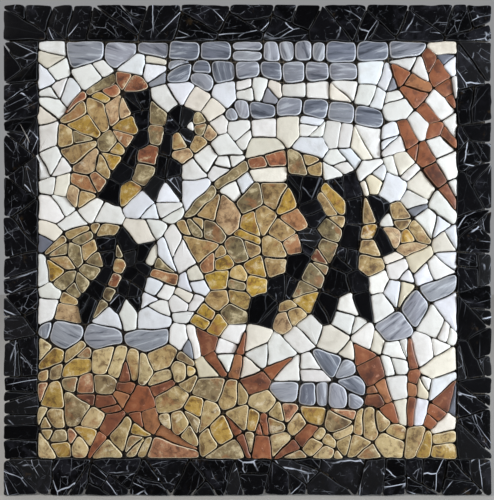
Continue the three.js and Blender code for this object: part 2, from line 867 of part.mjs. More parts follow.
// A stone's outline without its short sides and its weakest corners.
function worn(outline) {
  const size = areaOf(outline);
  const place = outline.findIndex((corner, index) => {
    const next = outline[(index + 1) % outline.length];
    return Math.hypot(next.x - corner.x, next.y - corner.y) < SHORTEST_SIDE;
  });
  if (place >= 0 && outline.length > 3) {
    const next = (place + 1) % outline.length;
    const middle = { x: (outline[place].x + outline[next].x) / 2, y: (outline[place].y + outline[next].y) / 2 };
    const joined = outline.map((corner, index) => (index === place ? middle : corner));
    return worn(joined.filter((corner, index) => index !== next));
  }
  const losses = outline.map((corner, index) => {
    const before = outline[(index + outline.length - 1) % outline.length];
    const next = outline[(index + 1) % outline.length];
    return areaOf([before, corner, next]) / size;
  });
  const least = Math.min(...losses);
  if (outline.length > 3 && least < CORNER_LOSS) {
    return worn(outline.filter((corner, index) => index !== losses.indexOf(least)));
  }
  return outline;
}

// ---------------------------------------------------------------------------------------------------
// Solids
// ---------------------------------------------------------------------------------------------------
function solidFrom(geometry) {
  geometry.deleteAttribute("normal");
  geometry.deleteAttribute("uv");
  const merged = mergeVertices(geometry, 1e-4);
  return new wasm.Manifold(
    new wasm.Mesh({
      numProp: 3,
      vertProperties: merged.attributes.position.array,
      triVerts: new Uint32Array(merged.index.array),
    }),
  );
}

function slab(outline, holes, bottom, top) {
  const shape = new THREE.Shape(outline.map(({ x, y }) => point(x, y)));
  shape.holes = holes.map((hole) => new THREE.Path(hole.map(({ x, y }) => point(x, y))));
  const geometry = new THREE.ExtrudeGeometry(shape, { depth: top - bottom, bevelEnabled: false });
  return solidFrom(geometry.translate(0, 0, bottom));
}

function meshFrom(name, solid, { color, roughness }) {
  const { vertProperties, triVerts } = solid.getMesh();
  const geometry = new THREE.BufferGeometry();
  geometry.setAttribute("position", new THREE.BufferAttribute(vertProperties, 3));
  geometry.setIndex(new THREE.BufferAttribute(triVerts, 1));
  geometry.computeVertexNormals();
  const mesh = new THREE.Mesh(geometry, new THREE.MeshStandardMaterial({ color, roughness, metalness: 0 }));
  mesh.name = name;
  return mesh;
}

// One bed with its stones, as one solid.
function stonesOnBed(name, bed, pieces, outerSides) {
  const [outer, ...holes] = outlinesOf(bed, pieces).map((outline) =>
    drawnIn(
      outline.filter(({ shared }) => !shared.onLine),
      TOUCH_GAP,
    ),
  );
  const bedBottom = BACKING_THICKNESS + TOUCH_GAP;
  const stones = bed
    .flatMap(({ outline }) => broken(outline))
    .map((outline) => drawnStone(outline, outerSides))
    .filter((outline) => areaOf(outline) > LEAST_STONE);
  const solid = stones.reduce((joined, outline) => {
    const top = STONE_FACE + between(-FACE_SPREAD, FACE_SPREAD);
    return joined.add(slab(worn(outline), [], STONE_FOOT, top));
  }, slab(outer, holes, bedBottom, bedBottom + BED_THICKNESS));
  return meshFrom(name, solid, STONE[STONE_OF[bed[0].area]]);
}

// ---------------------------------------------------------------------------------------------------
// The panel
// ---------------------------------------------------------------------------------------------------
const panel = new THREE.Group();
panel.name = "mosaic_panel";

function addBackingMesh() {
  const width = PANEL_WIDTH - 2 * BACKING_SETBACK;
  const height = PANEL_HEIGHT - 2 * BACKING_SETBACK;
  const sheet = new THREE.Mesh(
    new THREE.BoxGeometry(width, height, BACKING_THICKNESS),
    new THREE.MeshStandardMaterial({ color: 0x1c1712, roughness: 0.8, metalness: 0 }),
  );
  sheet.name = "backing_mesh";
  sheet.position.z = BACKING_THICKNESS / 2;
  panel.add(sheet);
}

// A strip of the border. Its outer sides are the panel's own edge.
function addBorder(name, left, bottom, width, height, outerSides) {
  const middle = point(left + width / 2, bottom + height / 2);
  const seeds = stripSeeds(width, height).map((seed) => point(seed.x + middle.x, seed.y + middle.y));
  const pieces = piecesOf(seeds, rectangle(left, bottom, width, height), () => ({ name, area: "border" }));
  joinNearCorners(pieces);
  straightenBoundaries([pieces], pieces);
  panel.add(stonesOnBed(name, pieces, pieces, outerSides));
}

function addPicture() {
  const field = rectangle(-FIELD_WIDTH / 2, -FIELD_HEIGHT / 2, FIELD_WIDTH, FIELD_HEIGHT);
  const pieces = piecesOf(withoutSlivers(pictureSeeds(), field), field, (seed) => {
    const { name, area } = figureAt(seed.x, seed.y);
    return { name, area };
  });
  joinNearCorners(pieces);
  adoptStrays(pieces, 2);
  const beds = bedsOf(pieces).sort((first, second) => second.length - first.length);
  const used = new Map();
  for (const bed of beds) {
    for (const piece of bed) piece.bed = bed;
  }
  straightenBoundaries(beds, pieces);
  for (const bed of beds) {
    const { name } = bed[0];
    used.set(name, (used.get(name) ?? 0) + 1);
    const number = used.get(name);
    panel.add(stonesOnBed(number === 1 ? name : `${name}_${number}`, bed, pieces, []));
  }
}

const [halfWidth, halfHeight] = [PANEL_WIDTH / 2, PANEL_HEIGHT / 2];
addBackingMesh();
addBorder("border_top", -halfWidth, halfHeight - END_BORDER, PANEL_WIDTH, END_BORDER, ["above", "left", "right"]);
addBorder("border_bottom", -halfWidth, -halfHeight, PANEL_WIDTH, END_BORDER, ["below", "left", "right"]);
addBorder("border_left", -halfWidth, -FIELD_HEIGHT / 2, SIDE_BORDER, FIELD_HEIGHT, ["left"]);
addBorder("border_right", halfWidth - SIDE_BORDER, -FIELD_HEIGHT / 2, SIDE_BORDER, FIELD_HEIGHT, ["right"]);
addPicture();
panel.rotation.x = Math.PI / 2;

export default panel;
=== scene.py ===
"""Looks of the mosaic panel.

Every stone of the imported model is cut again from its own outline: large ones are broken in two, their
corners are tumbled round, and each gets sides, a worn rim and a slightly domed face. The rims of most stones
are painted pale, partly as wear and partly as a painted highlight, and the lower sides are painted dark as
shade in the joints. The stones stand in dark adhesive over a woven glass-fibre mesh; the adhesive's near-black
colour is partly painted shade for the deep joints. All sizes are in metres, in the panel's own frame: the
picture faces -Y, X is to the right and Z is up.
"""

import logging
import math
import random
from dataclasses import dataclass, field
from enum import Enum
from typing import Iterable, Optional, Sequence, Union

import bmesh
import bpy
from mathutils import Matrix, Vector, noise
from mathutils.bvhtree import BVHTree

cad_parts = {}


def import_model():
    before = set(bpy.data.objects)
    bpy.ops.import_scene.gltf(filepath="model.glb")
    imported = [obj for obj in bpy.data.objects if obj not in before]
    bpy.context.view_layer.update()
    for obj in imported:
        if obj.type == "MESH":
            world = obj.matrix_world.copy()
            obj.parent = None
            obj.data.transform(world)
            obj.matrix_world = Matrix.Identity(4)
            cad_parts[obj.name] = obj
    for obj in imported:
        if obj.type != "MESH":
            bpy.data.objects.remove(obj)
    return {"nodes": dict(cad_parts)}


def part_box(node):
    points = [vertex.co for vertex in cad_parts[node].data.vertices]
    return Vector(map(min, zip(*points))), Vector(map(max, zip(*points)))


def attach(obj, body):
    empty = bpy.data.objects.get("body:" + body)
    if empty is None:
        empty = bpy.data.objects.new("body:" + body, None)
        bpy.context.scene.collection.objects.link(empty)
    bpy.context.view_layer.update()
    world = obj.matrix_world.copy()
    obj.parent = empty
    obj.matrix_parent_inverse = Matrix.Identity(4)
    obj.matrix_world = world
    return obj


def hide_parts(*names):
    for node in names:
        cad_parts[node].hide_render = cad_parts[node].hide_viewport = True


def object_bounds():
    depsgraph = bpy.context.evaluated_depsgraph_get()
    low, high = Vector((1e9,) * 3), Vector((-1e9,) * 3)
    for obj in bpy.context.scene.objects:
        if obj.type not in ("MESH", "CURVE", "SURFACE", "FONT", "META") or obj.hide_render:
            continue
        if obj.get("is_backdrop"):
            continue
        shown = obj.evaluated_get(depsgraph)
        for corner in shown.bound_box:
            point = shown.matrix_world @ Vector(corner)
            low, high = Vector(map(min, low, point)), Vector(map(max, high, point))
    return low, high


logging.basicConfig(level=logging.INFO, format="%(message)s")
log = logging.getLogger("mosaic_panel")

MM = 0.001
Colour = tuple[float, float, float]
Socket = bpy.types.NodeSocket
Outline = list[Vector]


# ----------------------------------------------------------------------------------------------------
# Materials
# ----------------------------------------------------------------------------------------------------
class Shader:
    """A material being made, one node at a time."""

    def __init__(self, name: str) -> None:
        """Starts a material that holds one Principled shader."""
        self.material = bpy.data.materials.new(name)
        self.material.use_nodes = True
        self.tree = self.material.node_tree
        self.surface = next(n for n in self.tree.nodes if n.type == "BSDF_PRINCIPLED")

    def add(self, kind: str, inputs: Optional[dict[Union[str, int], object]] = None, **settings: object) -> bpy.types.Node:
        """Adds a node.

        Args:
            kind: the node's type name, without "ShaderNode".
            inputs: for each input, by name or number, a value or the socket that feeds it.
            settings: the node's own properties.

        Returns:
            The new node.
        """
        node = self.tree.nodes.new("ShaderNode" + kind)
        for name, value in settings.items():
            setattr(node, name, value)
        for key, value in (inputs or {}).items():
            self.feed(node.inputs[key], value)
        return node

    def feed(self, socket: Socket, value: object) -> None:
        """Sets an input to a value, or links it to the socket that feeds it."""
        if isinstance(value, bpy.types.NodeSocket):
            self.tree.links.new(value, socket)
        else:
            socket.default_value = value

    def maths(self, operation: str, first: object, second: object = 0.0) -> Socket:
        """Returns the result of one operation on two numbers."""
        return self.add("Math", {0: first, 1: second}, operation=operation).outputs[0]

    def mask(self, value: Socket, low: float, high: float) -> Socket:
        """Returns a number that rises smoothly from 0 at `low` to 1 at `high`."""
        inputs = {"Value": value, "From Min": low, "From Max": high}
        return self.add("MapRange", inputs, interpolation_type="SMOOTHSTEP").outputs[0]

    def span(self, value: Socket, start: float, end: float) -> Socket:
        """Returns a number from 0 to 1 spread over the span from `start` to `end`."""
        return self.add("MapRange", {"Value": value, "To Min": start, "To Max": end}).outputs[0]

    def mix(self, share: object, first: object, second: object, blend: str = "MIX") -> Socket:
        """Returns a colour that goes from `first` to `second` as `share` goes from 0 to 1."""
        node = self.add("Mix", data_type="RGBA", blend_type=blend)
        for number, value in ((0, share), (6, first), (7, second)):
            self.feed(node.inputs[number], value)
        return node.outputs[2]

    def attribute(self, name: str, output: str) -> Socket:
        """Returns an output of one of the stones' attributes."""
        return self.add("Attribute", attribute_name=name).outputs[output]

    def noise(self, vector: Socket, scale: float, detail: float = 4.0, rough: float = 0.5, warp: float = 0.0) -> Socket:
        """Returns a noise pattern."""
        inputs = {"Vector": vector, "Scale": scale, "Detail": detail, "Roughness": rough, "Distortion": warp}
        return self.add("TexNoise", inputs).outputs[0]

    def bump(self, height: Socket, depth: float, below: Optional[Socket] = None) -> Socket:
        """Returns a normal bent by a height pattern of the given depth in metres."""
        inputs = {"Height": height, "Distance": depth, "Strength": 1.0}
        if below is not None:
            inputs["Normal"] = below
        return self.add("Bump", inputs).outputs[0]

    def stone_place(self, stretch: Sequence[float] = (1.0, 1.0, 1.0)) -> Socket:
        """Returns a place in the rock, so that every stone is cut from another part of it.

        Args:
            stretch: how much the rock is drawn out along, into and across the stone.

        Returns:
            The coordinates that the rock's patterns read.
        """
        place = self.add("TexCoord").outputs["Object"]
        turn = self.attribute("stone_turn", "Fac")
        turned = self.add("VectorRotate", {"Vector": place, "Angle": turn}, rotation_type="Y_AXIS").outputs[0]
        seed = self.attribute("stone_seed", "Fac")
        offset = self.add("CombineXYZ", {"X": seed, "Y": self.maths("MULTIPLY", seed, 0.37), "Z": seed}).outputs[0]
        moved = self.add("VectorMath", {0: turned, 1: offset}, operation="ADD").outputs[0]
        return self.add("Mapping", {"Vector": moved, "Scale": stretch}).outputs[0]


@dataclass(frozen=True)
class WhiteMarble:
    """White and cream marble: a soft, faintly clouded stone with fine pits, with painted shade on the lower sides."""

    name: str = "white_marble"

    def make(self) -> bpy.types.Material:
        """Returns the material."""
        shader = Shader(self.name)
        place = shader.stone_place()
        tone = shader.attribute("stone_tone", "Color")
        worn_rim_highlight_foot_shade = shader.attribute("stone_worn_rim_highlight_foot_shade", "Fac")
        cloud = shader.noise(place, 55.0, 5.0, 0.55, 0.4)
        dull = shader.mix(1.0, tone, (0.84, 0.83, 0.81, 1), "MULTIPLY")
        clouded = shader.mix(shader.mask(cloud, 0.45, 0.75), tone, dull)
        stain = shader.mask(shader.noise(place, 24.0, 3.0), 0.62, 0.8)
        stained = shader.mix(shader.maths("MULTIPLY", stain, 0.22), clouded, (0.62, 0.5, 0.36, 1))
        # Painted shade: the sides darken towards brown down to the foot, between the stones.
        foot_shaded = shader.mix(shader.mask(worn_rim_highlight_foot_shade, -0.95, 0.1), (0.3, 0.26, 0.2, 1), stained)
        shader.feed(shader.surface.inputs["Base Color"], foot_shaded)
        grain = shader.noise(place, 900.0, 3.0)
        shader.feed(shader.surface.inputs["Roughness"], shader.span(grain, 0.38, 0.56))
        pits = shader.mask(shader.noise(place, 420.0, 2.0), 0.3, 0.42)
        swell = shader.noise(place, 90.0, 4.0)
        normal = shader.bump(pits, 0.00007, shader.bump(swell, 0.0009))
        shader.feed(shader.surface.inputs["Normal"], normal)
        return shader.material


@dataclass(frozen=True)
class GreyMarble:
    """Grey marble: darker and paler streaks along the stone, a pale rim that is partly wear and partly a painted
    highlight, and painted shade on the lower sides.
    """

    name: str = "grey_marble"

    def make(self) -> bpy.types.Material:
        """Returns the material."""
        shader = Shader(self.name)
        place = shader.stone_place((1.0, 3.0, 7.0))
        tone = shader.attribute("stone_tone", "Color")
        worn_rim_highlight_foot_shade = shader.attribute("stone_worn_rim_highlight_foot_shade", "Fac")
        bands = shader.noise(place, 22.0, 6.0, 0.62, 0.55)
        dark = shader.mix(1.0, tone, (0.28, 0.3, 0.34, 1), "MULTIPLY")
        pale = shader.mix(0.42, tone, (0.72, 0.76, 0.82, 1))
        streaked = shader.mix(shader.mask(bands, 0.5, 0.66), tone, dark)
        streaked = shader.mix(shader.mask(bands, 0.47, 0.34), streaked, pale)
        # Pale rim: partly wear, partly a painted highlight.
        rim_rubbing_and_highlight = shader.maths("MULTIPLY", shader.mask(worn_rim_highlight_foot_shade, 0.4, 0.9), shader.span(shader.noise(place, 60.0), 0.2, 1.1))
        rimmed = shader.mix(rim_rubbing_and_highlight, streaked, (0.8, 0.82, 0.86, 1))
        # Painted shade: the lower sides darken towards the foot, down in the joints.
        foot_shaded = shader.mix(shader.mask(worn_rim_highlight_foot_shade, -0.95, -0.1), (0.12, 0.12, 0.13, 1), rimmed)
        shader.feed(shader.surface.inputs["Base Color"], foot_shaded)
        grain = shader.noise(shader.stone_place(), 700.0, 3.0)
        shader.feed(shader.surface.inputs["Roughness"], shader.span(grain, 0.4, 0.58))
        normal = shader.bump(grain, 0.00009, shader.bump(shader.noise(shader.stone_place(), 120.0), 0.0003))
        shader.feed(shader.surface.inputs["Normal"], normal)
        return shader.material


@dataclass(frozen=True)
class TanStone:
    """Tan, gold and pinkish stone: mottled, with small holes, a pale rim that is partly wear and partly a painted
    highlight, and painted shade on the lower sides.
    """

    name: str = "tan_stone"

    def make(self) -> bpy.types.Material:
        """Returns the material."""
        shader = Shader(self.name)
        place = shader.stone_place()
        tone = shader.attribute("stone_tone", "Color")
        worn_rim_highlight_foot_shade = shader.attribute("stone_worn_rim_highlight_foot_shade", "Fac")
        mottle = shader.noise(place, 75.0, 7.0, 0.7, 0.35)
        dark = shader.mix(1.0, tone, (0.34, 0.27, 0.22, 1), "MULTIPLY")
        pale = shader.mix(0.6, tone, (0.76, 0.64, 0.4, 1))
        mottled = shader.mix(shader.mask(mottle, 0.49, 0.64), tone, dark)
        mottled = shader.mix(shader.mask(mottle, 0.48, 0.36), mottled, pale)
        rust = shader.mask(shader.noise(place, 40.0, 5.0, 0.65, 0.6), 0.54, 0.66)
        rusted = shader.mix(shader.maths("MULTIPLY", rust, 0.6), mottled, (0.31, 0.12, 0.04, 1))
        lime = shader.mask(shader.noise(place, 34.0, 5.0, 0.6, 0.8), 0.62, 0.68)
        limed = shader.mix(shader.maths("MULTIPLY", lime, 0.55), rusted, (0.78, 0.68, 0.5, 1))
        streak = shader.maths("ABSOLUTE", shader.maths("SUBTRACT", shader.noise(place, 29.0, 6.0, 0.55, 0.5), 0.47))
        streaked = shader.mix(shader.maths("MULTIPLY", shader.mask(streak, 0.012, 0.0), 0.5), limed, (0.09, 0.045, 0.02, 1))
        # Pale rim: partly wear, partly a painted highlight.
        rim_rubbing_and_highlight = shader.maths("MULTIPLY", shader.mask(worn_rim_highlight_foot_shade, 0.4, 0.9), shader.span(mottle, 0.2, 1.2))
        rimmed = shader.mix(rim_rubbing_and_highlight, streaked, (0.92, 0.82, 0.6, 1))
        # Painted shade: the lower sides darken towards the foot, down in the joints.
        foot_shaded = shader.mix(shader.mask(worn_rim_highlight_foot_shade, -0.95, -0.1), (0.13, 0.09, 0.055, 1), rimmed)
        shader.feed(shader.surface.inputs["Base Color"], foot_shaded)
        shader.feed(shader.surface.inputs["Roughness"], shader.span(mottle, 0.42, 0.62))
        holes = shader.mask(shader.noise(place, 330.0, 2.0), 0.3, 0.4)
        normal = shader.bump(holes, 0.00016, shader.bump(mottle, 0.0005))
        shader.feed(shader.surface.inputs["Normal"], normal)
        return shader.material


@dataclass(frozen=True)
class RedMarble:
    """Brick-red marble: lightly mottled, with a few specks, a paler rim that is partly wear and partly a painted
    highlight, and painted shade on the lower sides.
    """

    name: str = "red_marble"

    def make(self) -> bpy.types.Material:
        """Returns the material."""
        shader = Shader(self.name)
        place = shader.stone_place()
        tone = shader.attribute("stone_tone", "Color")
        worn_rim_highlight_foot_shade = shader.attribute("stone_worn_rim_highlight_foot_shade", "Fac")
        mottle = shader.noise(place, 80.0, 6.0, 0.6, 0.3)
        dark = shader.mix(1.0, tone, (0.46, 0.42, 0.42, 1), "MULTIPLY")
        pale = shader.mix(0.3, tone, (0.56, 0.27, 0.13, 1))
        mottled = shader.mix(shader.mask(mottle, 0.48, 0.66), tone, dark)
        mottled = shader.mix(shader.mask(mottle, 0.46, 0.32), mottled, pale)
        pink = shader.mask(shader.noise(place, 150.0, 3.0), 0.66, 0.74)
        specked = shader.mix(shader.maths("MULTIPLY", pink, 0.5), mottled, (0.6, 0.3, 0.2, 1))
        # Paler rim: partly wear, partly a painted highlight.
        rim_rubbing_and_highlight = shader.maths("MULTIPLY", shader.mask(worn_rim_highlight_foot_shade, 0.5, 1.0), shader.span(mottle, 0.1, 1.0))
        rimmed = shader.mix(rim_rubbing_and_highlight, specked, (0.66, 0.42, 0.28, 1))
        # Painted shade: the lower sides darken towards the foot, down in the joints.
        foot_shaded = shader.mix(shader.mask(worn_rim_highlight_foot_shade, -0.95, -0.1), (0.07, 0.03, 0.02, 1), rimmed)
        shader.feed(shader.surface.inputs["Base Color"], foot_shaded)
        grain = shader.noise(place, 600.0, 3.0)
        shader.feed(shader.surface.inputs["Roughness"], shader.span(grain, 0.42, 0.6))
        holes = shader.mask(shader.noise(place, 300.0, 2.0), 0.28, 0.36)
        normal = shader.bump(holes, 0.00015, shader.bump(mottle, 0.0004))
        shader.feed(shader.surface.inputs["Normal"], normal)
        return shader.material


@dataclass(frozen=True)
class BlackMarble:
    """Black marble: nearly black and smooth, crossed by thin white veins and a few crackled patches, with a pale grey
    rim that is partly wear and partly a painted highlight, and painted shade on the lower sides.
    """

    name: str = "black_marble"

    def make(self) -> bpy.types.Material:
        """Returns the material."""
        shader = Shader(self.name)
        place = shader.stone_place()
        tone = shader.attribute("stone_tone", "Color")
        worn_rim_highlight_foot_shade = shader.attribute("stone_worn_rim_highlight_foot_shade", "Fac")
        rich = shader.attribute("stone_vein", "Fac")
        long_place = shader.stone_place((0.55, 1.0, 1.5))
        strong = self.cracks(shader, long_place, 21.0, 0.7 * MM, 0.47)
        fine = self.cracks(shader, long_place, 47.0, 0.32 * MM, 0.47)
        faint = self.cracks(shader, place, 105.0, 0.3 * MM, 0.5)
        marks = shader.maths("MAXIMUM", strong, shader.maths("MULTIPLY", fine, 0.4))
        marks = shader.maths("MAXIMUM", marks, shader.maths("MULTIPLY", faint, 0.14))
        marks = shader.maths("MULTIPLY", marks, rich)
        veined = shader.mix(marks, tone, (0.6, 0.64, 0.74, 1))
        cloud = shader.mask(shader.noise(place, 43.0, 5.0, 0.6, 0.5), 0.5, 0.72)
        clouded = shader.mix(shader.maths("MULTIPLY", cloud, rich), veined, (0.012, 0.012, 0.016, 1), "ADD")
        brown = shader.mask(shader.noise(place, 60.0, 5.0, 0.65), 0.62, 0.74)
        browned = shader.mix(shader.maths("MULTIPLY", brown, 0.14), clouded, (0.16, 0.1, 0.045, 1))
        # Pale grey rim: partly wear, partly a painted highlight.
        rim_rubbing_and_highlight = shader.maths("MULTIPLY", shader.mask(worn_rim_highlight_foot_shade, 0.4, 0.9), shader.span(shader.noise(place, 70.0), -0.05, 0.26))
        rimmed = shader.mix(rim_rubbing_and_highlight, browned, (0.5, 0.52, 0.56, 1))
        # Painted shade: the lower sides darken towards the foot, down in the joints.
        foot_shaded = shader.mix(shader.mask(worn_rim_highlight_foot_shade, -0.95, -0.1), (0.006, 0.005, 0.005, 1), rimmed)
        shader.feed(shader.surface.inputs["Base Color"], foot_shaded)
        dull = shader.noise(place, 60.0, 4.0)
        shader.feed(shader.surface.inputs["Roughness"], shader.span(dull, 0.24, 0.4))
        shader.surface.inputs["Specular IOR Level"].default_value = 0.05
        normal = shader.bump(shader.noise(place, 500.0, 3.0), 0.00006, shader.bump(shader.noise(place, 110.0), 0.0003))
        shader.feed(shader.surface.inputs["Normal"], normal)
        return shader.material

    def cracks(self, shader: Shader, place: Socket, scale: float, width: float, gap: float) -> Socket:
        """Returns nearly straight cracks filled with white.

        Args:
            shader: the material being made.
            place: where in the rock a point lies.
            scale: how many cracks there are to a metre.
            width: half a crack's width.
            gap: the share of their length along which they are faded out.

        Returns:
            The strength of the white, from 0 to 1.
        """
        wobble = shader.add("TexNoise", {"Vector": place, "Scale": scale * 2.0, "Detail": 2.0}).outputs[1]
        bent = shader.add("VectorMath", {0: wobble, 1: (0.13 / scale,) * 3}, operation="MULTIPLY").outputs[0]
        moved = shader.add("VectorMath", {0: place, 1: bent}, operation="ADD").outputs[0]
        cells = shader.add("TexVoronoi", {"Vector": moved, "Scale": scale}, feature="DISTANCE_TO_EDGE").outputs[0]
        fade = shader.mask(shader.noise(place, scale * 1.1, 3.0, 0.6), gap, gap + 0.14)
        return shader.maths("MULTIPLY", shader.mask(cells, width * scale, 0.0), fade)


@dataclass(frozen=True)
class AdhesiveWithPaintedShade:
    """Dark brown adhesive, with grit and paler smears of stone dust. Its near-black colour is partly painted shade,
    standing in for the shade deep in the joints.
    """

    name: str = "adhesive_painted_shade"

    def make(self) -> bpy.types.Material:
        """Returns the material."""
        shader = Shader(self.name)
        place = shader.add("TexCoord").outputs["Object"]
        smear = shader.mask(shader.noise(place, 90.0, 6.0, 0.65), 0.5, 0.72)
        grit = shader.mask(shader.noise(place, 650.0, 2.0), 0.6, 0.7)
        # Near black: partly the adhesive's own colour, partly painted shade for the deep joints between the stones.
        smeared = shader.mix(smear, (0.009, 0.0065, 0.005, 1), (0.05, 0.034, 0.022, 1))
        gritty = shader.mix(shader.maths("MULTIPLY", grit, 0.4), smeared, (0.16, 0.12, 0.08, 1))
        shader.feed(shader.surface.inputs["Base Color"], gritty)
        shader.surface.inputs["Roughness"].default_value = 0.75
        lumps = shader.noise(place, 260.0, 5.0, 0.6)
        shader.feed(shader.surface.inputs["Normal"], shader.bump(lumps, 0.0009))
        return shader.material


@dataclass(frozen=True)
class GlassFibre:
    """Threads of glass fibre, grey-brown with adhesive."""

    name: str = "glass_fibre"

    def make(self) -> bpy.types.Material:
        """Returns the material."""
        shader = Shader(self.name)
        place = shader.add("TexCoord").outputs["Object"]
        soaked = shader.mask(shader.noise(place, 70.0, 4.0), 0.42, 0.62)
        colour = shader.mix(soaked, (0.2, 0.16, 0.11, 1), (0.02, 0.015, 0.011, 1))
        shader.feed(shader.surface.inputs["Base Color"], colour)
        shader.surface.inputs["Roughness"].default_value = 0.6
        shader.feed(shader.surface.inputs["Normal"], shader.bump(shader.noise(place, 1500.0, 2.0), 0.0001))
        return shader.material


@dataclass(frozen=True)
class StudioFloor:
    """The plain pale floor of the studio."""

    name: str = "studio_floor"

    def make(self) -> bpy.types.Material:
        """Returns the material."""
        shader = Shader(self.name)
        shader.surface.inputs["Base Color"].default_value = (0.72, 0.7, 0.67, 1)
        shader.surface.inputs["Roughness"].default_value = 0.9
        return shader.material


# ----------------------------------------------------------------------------------------------------
# Kinds of stone, and how each is cut
# ----------------------------------------------------------------------------------------------------
class Rock(Enum):
    """The kinds of rock, each with the record's material slot."""

    BLACK = "black_marble"
    WHITE = "white_marble"
    GREY = "grey_marble"
    TAN = "tan_travertine"
    RED = "red_marble"


@dataclass(frozen=True)
class Palette:
    """The colours that stones of one area are found in, each with how common it is."""

    shades: tuple[tuple[float, Colour], ...]
    spread: float = 0.06

    def pick(self, rng: random.Random) -> Colour:
        """Returns the colour of one stone."""
        shade = rng.choices([colour for _, colour in self.shades], [weight for weight, _ in self.shades])[0]
        light = 1.0 + rng.uniform(-self.spread, self.spread)
        return tuple(min(channel * light * rng.uniform(0.985, 1.015), 1.0) for channel in shade)


@dataclass(frozen=True)
class Cut:
    """How the stones of one area are broken, tumbled and set.

    Attributes:
        largest: area past which a stone is broken in two.
        tumbling: how many times its outline is smoothed.
        rim: radius of the worn rim.
        crown: how far the middle of the face stands above the rim.
        tilt: the most that a face leans.
        veins: the share of stones with strong veins.
    """

    largest: float = 640.0 * MM * MM
    tumbling: int = 1
    rim: float = 1.5 * MM
    crown: float = 0.4 * MM
    tilt: float = 0.075
    veins: float = 0.5


WHITES = Palette(((8, (0.82, 0.81, 0.78)), (1.8, (0.8, 0.75, 0.65)), (0.5, (0.74, 0.66, 0.5)), (3, (0.78, 0.8, 0.84))), 0.09)
GREYS = Palette(((4, (0.23, 0.24, 0.28)), (3, (0.3, 0.31, 0.35)), (2.4, (0.15, 0.165, 0.21))), 0.12)
SANDS = Palette(
    (
        (5, (0.4, 0.28, 0.115)),
        (3.5, (0.53, 0.4, 0.2)),
        (3, (0.28, 0.2, 0.095)),
        (2, (0.42, 0.26, 0.05)),
        (0.9, (0.38, 0.17, 0.085)),
    ),
    0.14,
)
FISH = Palette(
    (
        (5, (0.38, 0.25, 0.095)),
        (3, (0.42, 0.25, 0.03)),
        (4, (0.22, 0.165, 0.075)),
        (1.6, (0.35, 0.16, 0.065)),
        (1.8, (0.47, 0.31, 0.165)),
    ),
    0.14,
)
GOLDS = Palette(((5, (0.44, 0.27, 0.03)), (2, (0.36, 0.24, 0.07)), (1, (0.5, 0.33, 0.12))), 0.14)
BANNERS = Palette(((4, (0.37, 0.25, 0.1)), (2, (0.22, 0.165, 0.075)), (2.5, (0.3, 0.1, 0.04)), (1, (0.42, 0.25, 0.03))), 0.14)
REDS = Palette(((4, (0.25, 0.075, 0.026)), (2.5, (0.18, 0.052, 0.02)), (1, (0.32, 0.13, 0.05))), 0.14)
BLACKS = Palette(((4, (0.0015, 0.0015, 0.002)), (3, (0.0035, 0.0035, 0.0045)), (1.5, (0.009, 0.009, 0.01))), 0.2)


class Area(Enum):
    """The areas of the picture, each with its nodes' first letters, rock, colours and cut."""

    BORDER = ("border", Rock.BLACK, BLACKS, Cut(1000 * MM * MM, 1, 0.9 * MM, 0.3 * MM, 0.07, 0.8))
    WATER = ("white_water", Rock.WHITE, WHITES, Cut())
    CURRENT = ("grey", Rock.GREY, GREYS, Cut(950 * MM * MM, 6, 2.0 * MM, 1.0 * MM, 0.05))
    SAND = ("sand", Rock.TAN, SANDS, Cut(600 * MM * MM, 3, 1.3 * MM, 0.5 * MM, 0.07))
    STARFISH = ("starfish", Rock.RED, REDS, Cut(600 * MM * MM, 1, 1.0 * MM, 0.3 * MM, 0.06))
    SEAWEED = ("seaweed", Rock.RED, REDS, Cut(500 * MM * MM, 1, 1.0 * MM, 0.3 * MM, 0.06))
    EYE = ("eye", Rock.WHITE, WHITES, Cut(tumbling=3))
    STRIPE = ("stripe", Rock.BLACK, BLACKS, Cut(600 * MM * MM, 1, 0.9 * MM, 0.3 * MM, 0.08, 0.3))
    BANNER = ("banner", Rock.TAN, BANNERS, Cut(560 * MM * MM, 3, 1.2 * MM, 0.4 * MM, 0.07))
    FISH = ("fish", Rock.TAN, FISH, Cut(600 * MM * MM, 2, 1.2 * MM, 0.4 * MM, 0.07))

    def __init__(self, word: str, rock: Rock, palette: Palette, cut: Cut) -> None:
        """Keeps what the area's stones are made of and how."""
        self.word = word
        self.rock = rock
        self.palette = palette
        self.cut = cut

    @classmethod
    def of(cls, node: str) -> "Area":
        """Returns the first area whose word is in a node's name."""
        return next(area for area in cls if area.word in node)


# ----------------------------------------------------------------------------------------------------
# Stones
# ----------------------------------------------------------------------------------------------------
@dataclass
class Drift:
    """A slow bend of all outlines together, so that no joint is quite straight and neighbours still fit.

    Attributes:
        reach: the most that a point moves.
        scale: how often the bend turns, per metre.
        low: lowest corner of the panel.
        high: highest corner of the panel.
    """

    low: Vector
    high: Vector
    reach: float = 1.9 * MM
    scale: float = 50.0

    def moved(self, point: Vector) -> Vector:
        """Returns where the bend takes a point, inside the panel."""
        bend = noise.noise_vector(point * self.scale) * self.reach
        x = min(max(point.x + bend.x, self.low.x), self.high.x)
        z = min(max(point.z + bend.z, self.low.z), self.high.z)
        return Vector((x, point.y, z))


